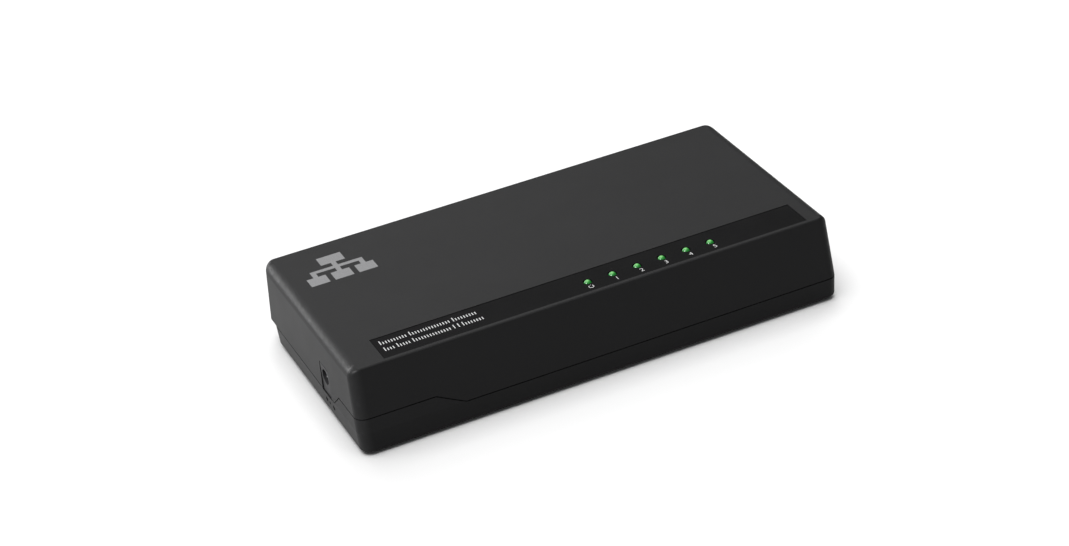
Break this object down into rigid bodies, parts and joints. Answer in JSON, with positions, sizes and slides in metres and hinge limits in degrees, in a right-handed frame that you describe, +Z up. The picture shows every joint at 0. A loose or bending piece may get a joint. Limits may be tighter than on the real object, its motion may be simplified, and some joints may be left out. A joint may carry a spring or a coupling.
{
  "type": "desktop network switch",
  "caption": "Low two-part plastic desktop network switch with a leaning front, an indicator strip on top, data sockets at the back and a side power inlet.",
  "frame": {"origin": "on the surface the feet stand on, under the middle of the case's plan outline", "axes": "+X to the right seen from the indicator side, +Y towards the socket side, +Z up"},
  "size_m": [0.13, 0.067, 0.0233],
  "materials": {
    "case_plastic": "finely textured charcoal plastic",
    "legend_film": "satin black film",
    "label_film": "satin blank label",
    "foot_rubber": "dull black rubber",
    "screw_steel": "zinc-plated steel",
    "light_pipe": "clear moulded plastic, lit green",
    "led_body": "lamp package",
    "board_laminate": "green solder mask",
    "chip_epoxy": "moulded black epoxy",
    "thermal_pad": "soft grey pad",
    "sink_aluminium": "natural aluminium",
    "crystal_can": "drawn metal can",
    "ferrite": "grey ferrite",
    "capacitor_can": "bright aluminium can",
    "chip_ceramic": "fired ceramic chip",
    "socket_plastic": "black moulded socket",
    "shield_steel": "nickel-plated steel",
    "contact_gold": "gold-plated spring wire",
    "tail_tin": "tinned metal",
    "inlet_plastic": "charcoal moulded inlet"
  },
  "bodies": {
    "root": {"upper_shell": "case_plastic", "lower_shell": "case_plastic", "legend_strip": "legend_film", "rating_label": "label_film", "foot_front_left": "foot_rubber", "foot_front_right": "foot_rubber", "foot_rear_left": "foot_rubber", "foot_rear_right": "foot_rubber", "case_screws": "screw_steel", "board_screws": "screw_steel", "light_pipe": "light_pipe", "indicator_leds": "led_body", "circuit_board": "board_laminate", "switch_chip": "chip_epoxy", "thermal_pad": "thermal_pad", "heat_sink": "sink_aluminium", "crystal": "crystal_can", "eeprom_chip": "chip_epoxy", "regulator_chip": "chip_epoxy", "power_inductor": "ferrite", "bulk_capacitors": "capacitor_can", "chip_resistors": "chip_ceramic", "chip_capacitors": "chip_ceramic", "dc_jack_housing": "inlet_plastic", "dc_jack_pin": "tail_tin", "dc_jack_terminals": "tail_tin", "magnetics_1": "chip_epoxy", "magnetics_2": "chip_epoxy", "magnetics_3": "chip_epoxy", "magnetics_4": "chip_epoxy", "magnetics_5": "chip_epoxy", "port_1_housing": "socket_plastic", "port_1_shield": "shield_steel", "port_1_terminals": "contact_gold", "port_2_housing": "socket_plastic", "port_2_shield": "shield_steel", "port_2_terminals": "contact_gold", "port_3_housing": "socket_plastic", "port_3_shield": "shield_steel", "port_3_terminals": "contact_gold", "port_4_housing": "socket_plastic", "port_4_shield": "shield_steel", "port_4_terminals": "contact_gold", "port_5_housing": "socket_plastic", "port_5_shield": "shield_steel", "port_5_terminals": "contact_gold"},
    "port_1_contact_comb": {"port_1_contacts": "contact_gold"},
    "port_2_contact_comb": {"port_2_contacts": "contact_gold"},
    "port_3_contact_comb": {"port_3_contacts": "contact_gold"},
    "port_4_contact_comb": {"port_4_contacts": "contact_gold"},
    "port_5_contact_comb": {"port_5_contacts": "contact_gold"},
    "dc_jack_leaf": {"dc_jack_spring": "tail_tin"}
  },
  "joints": [
    {"name": "port_1_contact_flex", "type": "hinge", "parent": "root", "child": "port_1_contact_comb", "pos_m": [-0.036, 0.0292, 0.01785], "axis": [-1, 0, 0], "range_deg": [0, 12], "stiffness_Nm_per_rad": 0.32},
    {"name": "port_2_contact_flex", "type": "hinge", "parent": "root", "child": "port_2_contact_comb", "pos_m": [-0.018, 0.0292, 0.01785], "axis": [-1, 0, 0], "range_deg": [0, 12], "stiffness_Nm_per_rad": 0.32},
    {"name": "port_3_contact_flex", "type": "hinge", "parent": "root", "child": "port_3_contact_comb", "pos_m": [0, 0.0292, 0.01785], "axis": [-1, 0, 0], "range_deg": [0, 12], "stiffness_Nm_per_rad": 0.32},
    {"name": "port_4_contact_flex", "type": "hinge", "parent": "root", "child": "port_4_contact_comb", "pos_m": [0.018, 0.0292, 0.01785], "axis": [-1, 0, 0], "range_deg": [0, 12], "stiffness_Nm_per_rad": 0.32},
    {"name": "port_5_contact_flex", "type": "hinge", "parent": "root", "child": "port_5_contact_comb", "pos_m": [0.036, 0.0292, 0.01785], "axis": [-1, 0, 0], "range_deg": [0, 12], "stiffness_Nm_per_rad": 0.32},
    {"name": "dc_jack_leaf_flex", "type": "hinge", "parent": "root", "child": "dc_jack_leaf", "pos_m": [-0.05565, -0.0107, 0.00845], "axis": [0, -1, 0], "range_deg": [0, 5], "stiffness_Nm_per_rad": 0.1}
  ]
}
